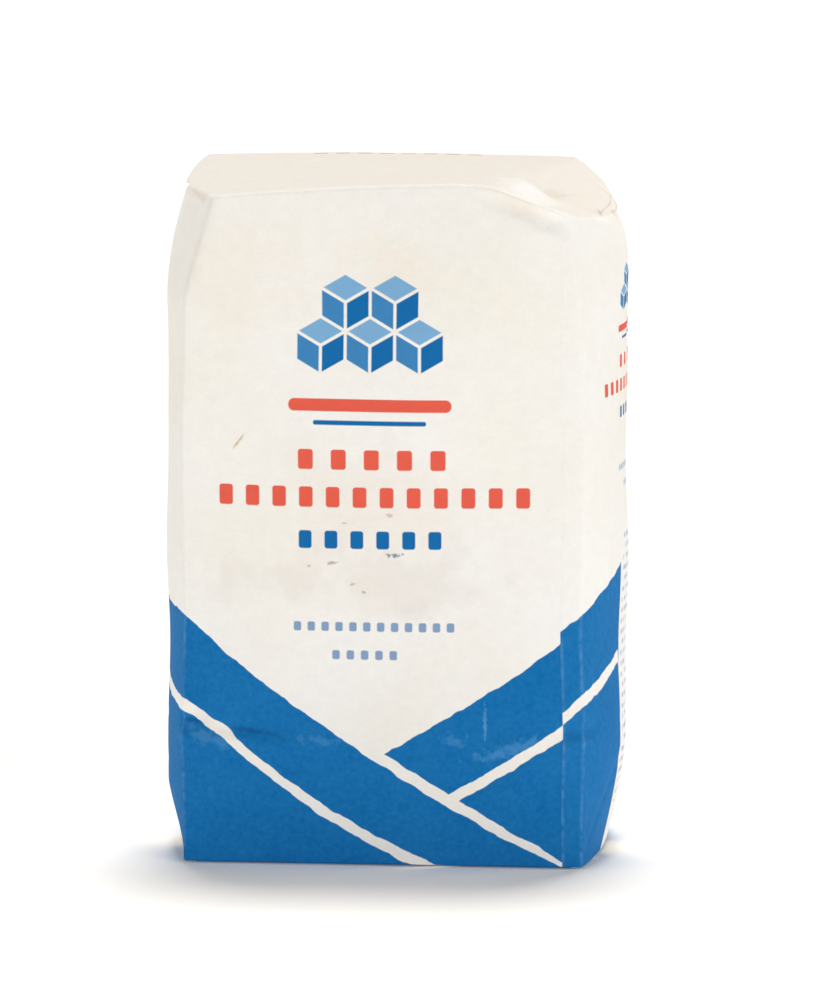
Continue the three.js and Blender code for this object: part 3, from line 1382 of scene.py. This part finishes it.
    def in_row(self, middle: float, count: int, pitch: float) -> Socket:
        """Finds the nearest of a row's equal parts.

        Args:
            middle: The row's middle, from the face's middle.
            count: How many parts it has.
            pitch: The distance from part to part.

        Returns:
            How far right of that part's middle a spot lies.
        """
        add = self.pen.add
        first = middle - pitch * (count - 1) / 2
        from_first = add("Math", self.face_x, first, operation="SUBTRACT")
        nearest = add("Math", add("Math", from_first, pitch, operation="DIVIDE"), operation="ROUND")
        part = add("Clamp", nearest, 0.0, count - 1.0)
        return add("Math", part, -pitch, from_first, operation="MULTIPLY_ADD")

    def tiles(self, row: Tiles) -> Socket:
        """Finds where a row's tiles are.

        Args:
            row: The row of tiles.

        Returns:
            The tiles' mask.
        """
        add = self.pen.add
        x = self.in_row(row.middle, row.count, row.pitch)
        y = add("Math", self.face_y, row.level, operation="SUBTRACT")
        spot = add("VectorMath", add("CombineXYZ", x, y, 0.0), operation="ABSOLUTE")
        core = (row.width / 2 - row.corner, row.height / 2 - row.corner, 0)
        past = add("VectorMath", spot, core, operation="SUBTRACT")
        past = add("VectorMath", past, (0, 0, 0), operation="MAXIMUM")
        return self.below(row.corner, add("VectorMath", past, out="Value", operation="LENGTH"))

    def cube_row(self, pile: CubePile, row: int) -> tuple[Socket, Socket, Socket]:
        """Finds where a row of cubes shows its three sides.

        Args:
            pile: The pile of cubes.
            row: Which of its rows, from the lowest.

        Returns:
            The masks of the tops, the left sides and the right sides.
        """
        add, edge = self.pen.add, pile.edge
        half = edge * math.cos(math.radians(30))
        x = self.in_row(pile.middle, pile.rows[row], 2 * half)
        aside = add("Math", x, operation="ABSOLUTE")
        y = add("Math", self.face_y, pile.foot + edge * (1 + 1.5 * row), operation="SUBTRACT")
        inner = half / 2 - pile.gap / 2
        over = add("Math", add("Math", y, edge / 2, operation="SUBTRACT"), operation="ABSOLUTE")
        across = add("Math", aside, 0.5, operation="MULTIPLY")
        top = self.below(inner, add("Math", over, half / edge, across, operation="MULTIPLY_ADD"))
        lean = add("Math", aside, -0.5, operation="MULTIPLY")
        down = add("Math", y, half / edge, lean, operation="MULTIPLY_ADD")
        sides = self.both(self.near(down, -half / 2, inner), self.near(aside, half / 2, inner))
        left = add("Math", x, 0.0, operation="LESS_THAN")
        return top, self.both(sides, left), self.without(sides, left)

    def small_print(self, block: SmallPrint) -> Socket:
        """Finds where the tiny dashes of a block of small print are.

        Args:
            block: The block.

        Returns:
            The dashes' mask.
        """
        add = self.pen.add
        lines = add("Math", self.up, block.line_pitch, operation="DIVIDE")
        line = add("Math", lines, operation="FRACT")
        inside = self.near(line, 0.5, block.line_height / block.line_pitch / 2, block.line_edge)
        letters = add("CombineXYZ", self.along, add("Math", lines, operation="FLOOR"), 0.0)
        words = add("TexNoise", {"Vector": letters, "Scale": 1 / block.word, "Detail": 1.0})
        written = add("MapRange", words, *block.word_edges, 0.0, 1.0)
        high = self.near(self.up, (block.foot + block.top) / 2, (block.top - block.foot) / 2)
        wide = self.near(self.along, block.middle, block.half_width)
        return self.both(inside, written, high, wide)

    def stained_and_lit(self, colour: Socket, tint: StainAndPaintedLight) -> Socket:
        """Lays a stain, a rub, a painted highlight or a painted shade on the front of the bag.

        Args:
            colour: The colour under it.
            tint: The stain or the patch of painted light, whose fringe is ragged.

        Returns:
            The colour with the patch on it.
        """
        add = self.pen.add
        spot = add("CombineXYZ", self.face_x, self.face_y, 0.0)
        turned = add(
            "Mapping",
            {
                "Vector": spot,
                "Location": (*tint.middle, 0),
                "Rotation": (0, 0, math.radians(tint.turn)),
                "Scale": (*tint.reach, 1),
            },
            vector_type="TEXTURE",
        )
        far = add("VectorMath", turned, out="Value", operation="LENGTH")
        tatter = max(min(tint.reach), tint.finest)
        rough = self.patches(tatter, 2.0, -tint.ragged, tint.ragged)
        fringe = add("Math", far, rough, operation="ADD")
        inside = add("MapRange", fringe, 1.0, tint.full, 0.0, tint.strength)
        front = add("Math", add("SeparateXYZ", self.place, out="Y"), 0.0, operation="LESS_THAN")
        front = self.without(front, self.on_side)
        return self.inked(colour, self.both(inside, front), tint.colour)

    def blue_field(self) -> Socket:
        """Finds the two crossing bands of blue, without their white stripes.

        Returns:
            Their mask.
        """
        design = self.design
        wander = self.patches(design.wobble_length, 2.0, -design.wobble, design.wobble)
        up = self.pen.add("Math", self.up, wander, operation="ADD")

        def edge(side: Line, face: Line) -> Socket:
            """Returns the height of a line that runs on from a side to the next face."""
            middle = self.tube.face_middle
            return self.height_along([*side, *((middle + x, y) for x, y in face)])

        low = edge(design.low_band_side, design.low_band)
        foot = edge(design.high_band_foot_side, design.high_band_foot)
        high = edge(design.high_band_side, design.high_band)
        high_stripe = edge(design.high_stripe_side, design.high_stripe)
        low_stripe = edge(design.low_band_side, design.low_stripe)
        half = design.stripe_width / 2
        low_field = self.without(self.below(low, up), self.near(up, low_stripe, half))
        high_field = self.without(self.below(high, up), self.below(foot, up))
        high_field = self.without(high_field, self.near(up, high_stripe, half))
        start, end = design.column
        column = self.near(self.along, (start + end) / 2, (end - start) / 2)
        return self.without(self.either(low_field, high_field), column)

    def blue_ink(self) -> Socket:
        """Mixes the uneven blue of the large fields, worn along the folds of the paper, with painted light
        past the seam and painted highlight and shade at the base fold.

        Returns:
            Its colour.
        """
        add, paper, tube = self.pen.add, self.paper, self.tube
        mottle = self.patches(paper.mottle, 3.0, 0.0, paper.mottle_share)
        blotch = self.patches(paper.blotch, 2.0, 0.0, paper.blotch_share)
        spotty = add("Math", mottle, blotch, operation="ADD")
        # Painted light: the blue of the front's strip right of the seam and of the right side panel is
        # paler, as they turn to the right lamp.
        right_lit = self.below(tube.side_end, self.along, 0.2)
        pale_and_lit = add("Math", right_lit, paper.painted_light_past_seam, spotty, operation="MULTIPLY_ADD")
        ink = self.inked(linear(Ink.BLUE.value), pale_and_lit, paper.pale_and_lit_ink)
        # Rubs at the base fold, with painted highlight under its crease and painted shade in it.
        for fold_tint in paper.rubs_and_fold_shading:
            ink = self.stained_and_lit(ink, fold_tint)
        folds = (0.0, tube.strip, tube.side_end, tube.side_end + tube.width)
        worn = [self.near(self.along, fold, paper.wear_width, paper.wear_edge) for fold in folds]
        bits = self.patches(paper.wear_bit, 2.0, 0.0, paper.wear_share)
        return self.inked(ink, self.both(self.either(*worn), bits), paper.worn_ink)

    def printed(self, blue: Socket) -> Socket:
        """Prints the paper, paints shade on its roof, and lays on stains and patches of painted light and
        shade.

        Args:
            blue: The mask of the blue bands.

        Returns:
            The colour of the paper with all that is on it.
        """
        add, paper, design = self.pen.add, self.paper, self.design
        warmth = self.patches(paper.cloud, 2.0, 0.0, 1.0)
        colour = self.inked(linear(paper.white), warmth, paper.warm)
        # Painted shade: the roof and the folded end are tinted darker and warmer than the walls.
        starts, ends = (self.tube.roof + past for past in paper.roof_shade_span)
        colour = self.inked(colour, add("MapRange", self.up, starts, ends, 0.0, 1.0), paper.roof_shade)
        # Soft tints on the front, and painted highlight and shade at the knocked-in right corner of the
        # roof.
        for tint in paper.stains_and_painted_light:
            colour = self.stained_and_lit(colour, tint)
        colour = self.inked(colour, blue, self.blue_ink())
        for tiles in design.tiles:
            colour = self.inked(colour, self.tiles(tiles), tiles.ink.value)
        for row in range(len(design.cubes.rows)):
            faces = self.cube_row(design.cubes, row)
            for face, ink in zip(faces, (Ink.PALE_BLUE, Ink.MID_BLUE, Ink.BLUE)):
                colour = self.inked(colour, face, ink.value)
        colour = self.inked(colour, self.small_print(design.small_print), Ink.SMALL.value)
        for mark in paper.marks:
            colour = self.stained_and_lit(colour, mark)
        return colour

    def bumped(self, bump: tuple[float, float], height: Socket, under: Socket | None = None) -> Socket:
        """Raises the paper's surface a little.

        Args:
            bump: How strong that is, and how high in mm.
            height: The pattern of the heights.
            under: The normal of another bump that lies under it, if any.

        Returns:
            The normal.
        """
        strength, high = bump
        inputs = {"Strength": strength, "Distance": high * MM, "Height": height, "Normal": under}
        return self.pen.add("Bump", inputs)

    def build(self) -> bpy.types.Material:
        """Dresses the paper.

        Returns:
            The finished material.
        """
        add, paper = self.pen.add, self.paper
        blue = self.blue_field()
        fibre = self.patches(paper.fibre, 3.0, 0.0, 1.0)
        flock = self.patches(paper.flock, 2.0, 0.0, 1.0)
        both = add("Math", fibre, flock, operation="ADD")
        shade = add("MapRange", both, 0.0, 2.0, *paper.shades)
        shine = add("MapRange", blue, 0.0, 1.0, paper.shine, paper.ink_shine)
        looks = {
            "Base Color": add("VectorMath", {0: self.printed(blue), 3: shade}, operation="SCALE"),
            "Roughness": paper.roughness,
            "Specular IOR Level": shine,
            "Normal": self.bumped(paper.cockle, flock, self.bumped(paper.tooth, fibre)),
        }
        add("OutputMaterial", {"Surface": add("BsdfPrincipled", looks)})
        return self.material


# ---------------------------------------------------------------------------------------------
# The studio
# ---------------------------------------------------------------------------------------------


@dataclass(frozen=True)
class Lamp:
    """A large far soft box: the direction that it shines from and how bright it is.

    Its light is what it adds to white paper that faces it, where 1 is as white as can be shown.
    """

    name: str
    azimuth: float
    elevation: float
    light: float
    softness: float


@dataclass
class Studio:
    """The camera, the white table and the soft boxes."""

    aim: float = 0.081
    azimuth: float = 6.0
    elevation: float = 8.0
    distance: float = 2.6
    focal_length: float = 388.1
    sensor: float = 36.0
    frame_shift: tuple[float, float] = (0.0047, 0.0029)
    sight: float = 20.0

    # The table is matt acrylic: it shows the bag's soft shadow and no mirror image, and it glows as
    # much as makes it as white as the room.
    floor_size: float = 20.0
    floor_white: str = "fffbf5"
    floor_roughness: float = 0.9
    floor_glow: float = 0.11

    # The room's walls are white low down and dimmer above: two heights and what is seen there.
    room_heights: tuple[float, float] = (0.05, 0.2)
    room_light: tuple[float, float] = (1.0, 0.12)
    lamps: tuple[Lamp, ...] = (
        Lamp("right_light", 50, 17, 0.35, 30),
        Lamp("left_light", -68, 17, 0.195, 30),
        Lamp("top_light", 178, 73, 0.77, 20),
    )

    @staticmethod
    def towards(azimuth: float, elevation: float) -> Vector:
        """Turns two angles, in degrees, to a direction.

        Args:
            azimuth: From straight in front, 0, towards the bag's right side, 90.
            elevation: Up from the table.

        Returns:
            The direction from the bag, one unit long.
        """
        turn, rise = math.radians(azimuth), math.radians(elevation)
        flat = math.cos(rise)
        return Vector((math.sin(turn) * flat, -math.cos(turn) * flat, math.sin(rise)))

    def camera(self) -> None:
        """Makes the camera and looks through it."""
        away = self.towards(self.azimuth, self.elevation)
        turn = away.to_track_quat("Z", "Y")
        right, up = turn @ Vector((1, 0, 0)), turn @ Vector((0, 1, 0))
        aim = Vector((0, 0, self.aim)) + right * self.frame_shift[0] + up * self.frame_shift[1]
        data = bpy.data.cameras.new("camera")
        data.sensor_fit = "VERTICAL"
        data.sensor_height = self.sensor
        data.lens = self.focal_length
        data.clip_end = self.sight
        camera = stand("camera", data)
        camera.location = aim + away * self.distance
        camera.rotation_euler = turn.to_euler()
        bpy.context.scene.camera = camera

    def floor(self) -> None:
        """Makes the white table, which fades into the white behind it."""
        bm = bmesh.new()
        bmesh.ops.create_grid(bm, x_segments=8, y_segments=8, size=self.floor_size)
        mesh = mesh_of("floor", bm)
        material = bpy.data.materials.new("white_acrylic")
        material.use_nodes = True
        pen = NodePen(material.node_tree)
        looks = {
            "Base Color": linear(self.floor_white),
            "Roughness": self.floor_roughness,
            "Specular IOR Level": 0.0,
            "Emission Color": linear("ffffff"),
            "Emission Strength": self.floor_glow,
        }
        pen.add("OutputMaterial", {"Surface": pen.add("BsdfPrincipled", looks)})
        mesh.materials.append(material)
        floor = stand("floor", mesh)

    def light(self) -> None:
        """Makes the soft boxes and the white room."""
        world = bpy.data.worlds.new("white_room")
        world.use_nodes = True
        pen = NodePen(world.node_tree)
        height = pen.add("SeparateXYZ", pen.add("TexCoord"), out="Z")
        strength = pen.add("MapRange", height, *self.room_heights, *self.room_light)
        room = pen.add("Background", linear("ffffff"), strength)
        pen.add("OutputWorld", {"Surface": room})
        bpy.context.scene.world = world
        for lamp in self.lamps:
            data = bpy.data.lights.new(lamp.name, "SUN")
            data.angle = math.radians(lamp.softness)
            data.energy = math.pi * lamp.light
            away = self.towards(lamp.azimuth, lamp.elevation)
            soft_box = stand(lamp.name, data)
            soft_box.location = away
            soft_box.rotation_euler = away.to_track_quat("Z", "Y").to_euler()

    def tone(self) -> None:
        """Shows colours as they are, so that white paper and white floor stay apart only a little."""
        settings = bpy.context.scene.view_settings
        settings.view_transform = "Standard"
        settings.look = "None"

    def build(self) -> None:
        """Sets up all of it."""
        self.camera()
        self.floor()
        self.light()
        self.tone()
        LOG.info("studio: %d soft boxes", len(self.lamps))


# ---------------------------------------------------------------------------------------------
# The bag
# ---------------------------------------------------------------------------------------------


def crush_creases() -> tuple[Crease, ...]:
    """Lists the creases of the knocked-in corners of the roof.

    Returns:
        The right corner's creases and then the left one's.
    """
    node = (41.6, -20.0, 159.2)
    return (
        Crease(Fold.VALLEY, ((29.5, -8.0, 165.0), (35.5, -13.5, 162.2), node), 3.6, 1.6),
        Crease(Fold.RIDGE, (node, (45.5, -13.0, 159.6), (49.5, -6.0, 158.6)), 3.2, 2.2),
        Crease(Fold.VALLEY, ((43.2, -24.5, 157.4), (48.0, -17.5, 156.6), (52.6, -9.0, 155.4)), 2.8, 1.6),
        Crease(
            Fold.RIDGE,
            ((24.5, -35.0, 164.0), (30.5, -34.8, 162.2), (36.6, -34.4, 159.9), (44.0, -32.5, 157.0)),
            1.8,
            0.6,
        ),
        Crease(Fold.DENT, ((26.2, -36.0, 161.0), (34.5, -36.0, 158.3), (43.0, -34.5, 154.6)), 3.6, 1.5),
        Crease(Fold.RIDGE, ((-40.6, -33.0, 161.0), (-45.5, -22.5, 161.5), (-50.3, -12.0, 162.0)), 1.3, 0.5),
        Crease(Fold.VALLEY, ((-42.5, -33.0, 158.8), (-46.8, -22.5, 159.8), (-50.8, -13.0, 160.2)), 1.8, 0.5),
    )


def base_creases() -> tuple[Crease, ...]:
    """Lists the creases that folding the base has left on the front.

    Returns:
        The left corner's, the right corner's and one across the middle.
    """
    fold = ((-40.5, -35.6, 34.0), (-32.4, -36.6, 33.1), (-28.0, -37.2, 32.8), (-22.5, -37.8, 30.6))
    return (
        Crease(Fold.VALLEY, ((-49.0, -33.0, 34.8), (-45.5, -34.2, 35.3), (-41.5, -35.4, 35.0)), 3.8, 1.7),
        Crease(Fold.RIDGE, ((-48.6, -33.0, 31.4), (-43.0, -35.4, 29.6), (-36.0, -36.8, 28.8)), 3.6, 1.4),
        Crease(Fold.VALLEY, fold, 2.8, 1.5),
        Crease(Fold.RIDGE, ((-27.0, -37.6, 29.4), (-21.0, -38.0, 30.2), (-16.0, -38.2, 29.8)), 3.0, 0.9),
        Crease(Fold.VALLEY, ((41.8, -35.0, 33.4), (45.5, -34.0, 33.2), (50.0, -27.0, 33.5)), 3.6, 1.2),
        Crease(Fold.RIDGE, ((43.5, -35.0, 30.4), (46.5, -34.0, 30.8), (49.5, -30.0, 31.2)), 3.0, 0.6),
        Crease(Fold.RIDGE, ((24.0, -37.8, 28.6), (31.0, -37.2, 29.8), (38.0, -36.2, 32.0)), 3.6, 0.8),
        Crease(Fold.VALLEY, ((-12.0, -38.6, 65.2), (4.0, -38.6, 65.4), (24.0, -38.0, 65.0)), 1.8, 0.25),
    )


def tube_creases() -> tuple[Crease, ...]:
    """Lists the creases that making and shutting the bag has left elsewhere.

    Returns:
        The back's creases and then those of each end.
    """
    found = [
        Crease(Fold.VALLEY, ((-46.0, 34.4, 33.6), (0.0, 38.6, 33.0), (46.0, 34.4, 33.4)), 2.6, 0.6),
        Crease(Fold.VALLEY, ((-43.0, 34.0, 160.0), (-34.0, 35.6, 149.0), (-30.0, 37.0, 136.0)), 5.0, 0.8),
        Crease(Fold.RIDGE, ((30.0, 34.5, 161.0), (36.0, 36.0, 148.0), (45.0, 35.0, 134.0)), 5.0, 0.8),
        Crease(Fold.RIDGE, ((-10.0, 36.0, 158.0), (4.0, 38.0, 139.0), (8.0, 38.5, 120.0)), 7.0, 0.5),
    ]
    for end in (-1, 1):
        fold = (end * 54.5, 0.0, 33.0)
        across = ((end * 49.0, -30.0, 33.6), fold, (end * 49.0, 30.0, 33.4))
        tuck = ((end * 44.0, 31.0, 163.5), (end * 30.0, 16.0, 164.0), (end * 17.0, 1.0, 164.6))
        pull = ((end * 50.5, 14.0, 150.0), (end * 54.0, 7.0, 136.0), (end * 55.0, 3.0, 118.0))
        found.append(Crease(Fold.VALLEY, across, 2.6, 0.6))
        found.append(Crease(Fold.RIDGE, tuck, 2.2, 0.2))
        found.append(Crease(Fold.VALLEY, pull, 5.0, 0.7))
        for side in (-1, 1):
            corner = (end * 48.6, side * 31.5, 2.5)
            found.append(Crease(Fold.VALLEY, (corner, (end * 53.4, side * 12.0, 21.0), fold), 2.8, 0.5))
    return tuple(found)


def main() -> None:
    """Builds the bag and its studio."""
    logging.basicConfig(level=logging.INFO, format="%(name)s: %(message)s")
    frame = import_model()
    LOG.info("nodes in the frame: %s", ", ".join(frame["nodes"]))
    Studio().build()
    form = BagForm()
    finish = PrintedPaper(form.tube, Paper(), Print()).build()
    crush = crush_creases()
    PaperSkin(form, (*crush, *base_creases(), *tube_creases())).build(finish)
    TopFold(form, crush).build(finish)
    BaseFlap(form, "base_flap_front", -1, 0.0).build(finish)
    BaseFlap(form, "base_flap_back", 1, 0.2).build(finish)

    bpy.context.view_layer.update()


if __name__ == "__main__":
    main()
